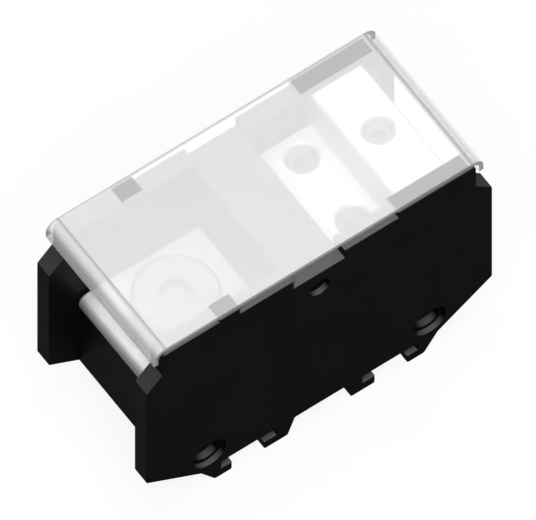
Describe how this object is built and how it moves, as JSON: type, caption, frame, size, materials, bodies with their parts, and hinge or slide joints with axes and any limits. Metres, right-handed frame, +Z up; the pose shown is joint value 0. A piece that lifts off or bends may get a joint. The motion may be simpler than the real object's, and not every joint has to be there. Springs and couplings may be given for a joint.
{
  "type": "power distribution block",
  "caption": "Rail-mounted single-pole power distribution block: one ring terminal feeds wires clamped in a stepped conductor, under a clear cover.",
  "frame": {"origin": "on the ground plane under the middle of the block, at the bottoms of the rail feet", "axes": "+X along the length towards the end where the wires enter, +Y across the width, +Z up to the cover"},
  "size_m": [0.0624, 0.0282, 0.0448],
  "materials": {
    "black_plastic": "fine moulded matt",
    "clear_plastic": "clear, smooth moulded",
    "tinned_metal": "satin tin plate",
    "zinc_steel": "bright zinc plate"
  },
  "bodies": {
    "block": {"base": "black_plastic", "conductor": "tinned_metal", "input_nut": "zinc_steel", "fixing_screw_1": "zinc_steel", "fixing_screw_2": "zinc_steel"},
    "cover": {"cover": "clear_plastic"},
    "input_screw": {"input_screw": "zinc_steel", "input_spring_washer": "zinc_steel"},
    "output_screw_upper": {"output_screw_upper": "zinc_steel"},
    "output_screw_lower_front": {"output_screw_lower_front": "zinc_steel"},
    "output_screw_lower_back": {"output_screw_lower_back": "zinc_steel"}
  },
  "joints": [
    {"name": "cover_lift", "type": "slide", "parent": "block", "child": "cover", "axis": [0, 0, 1], "range_m": [0, 0.02]},
    {"name": "input_screw_travel", "type": "slide", "parent": "block", "child": "input_screw", "axis": [0, 0, 1], "range_m": [0, 0.011]},
    {"name": "output_screw_upper_travel", "type": "slide", "parent": "block", "child": "output_screw_upper", "axis": [0, 0, 1], "range_m": [-0.003, 0.002]},
    {"name": "output_screw_lower_front_travel", "type": "slide", "parent": "block", "child": "output_screw_lower_front", "axis": [0, 0, 1], "range_m": [-0.003, 0.002]},
    {"name": "output_screw_lower_back_travel", "type": "slide", "parent": "block", "child": "output_screw_lower_back", "axis": [0, 0, 1], "range_m": [-0.003, 0.002]}
  ]
}
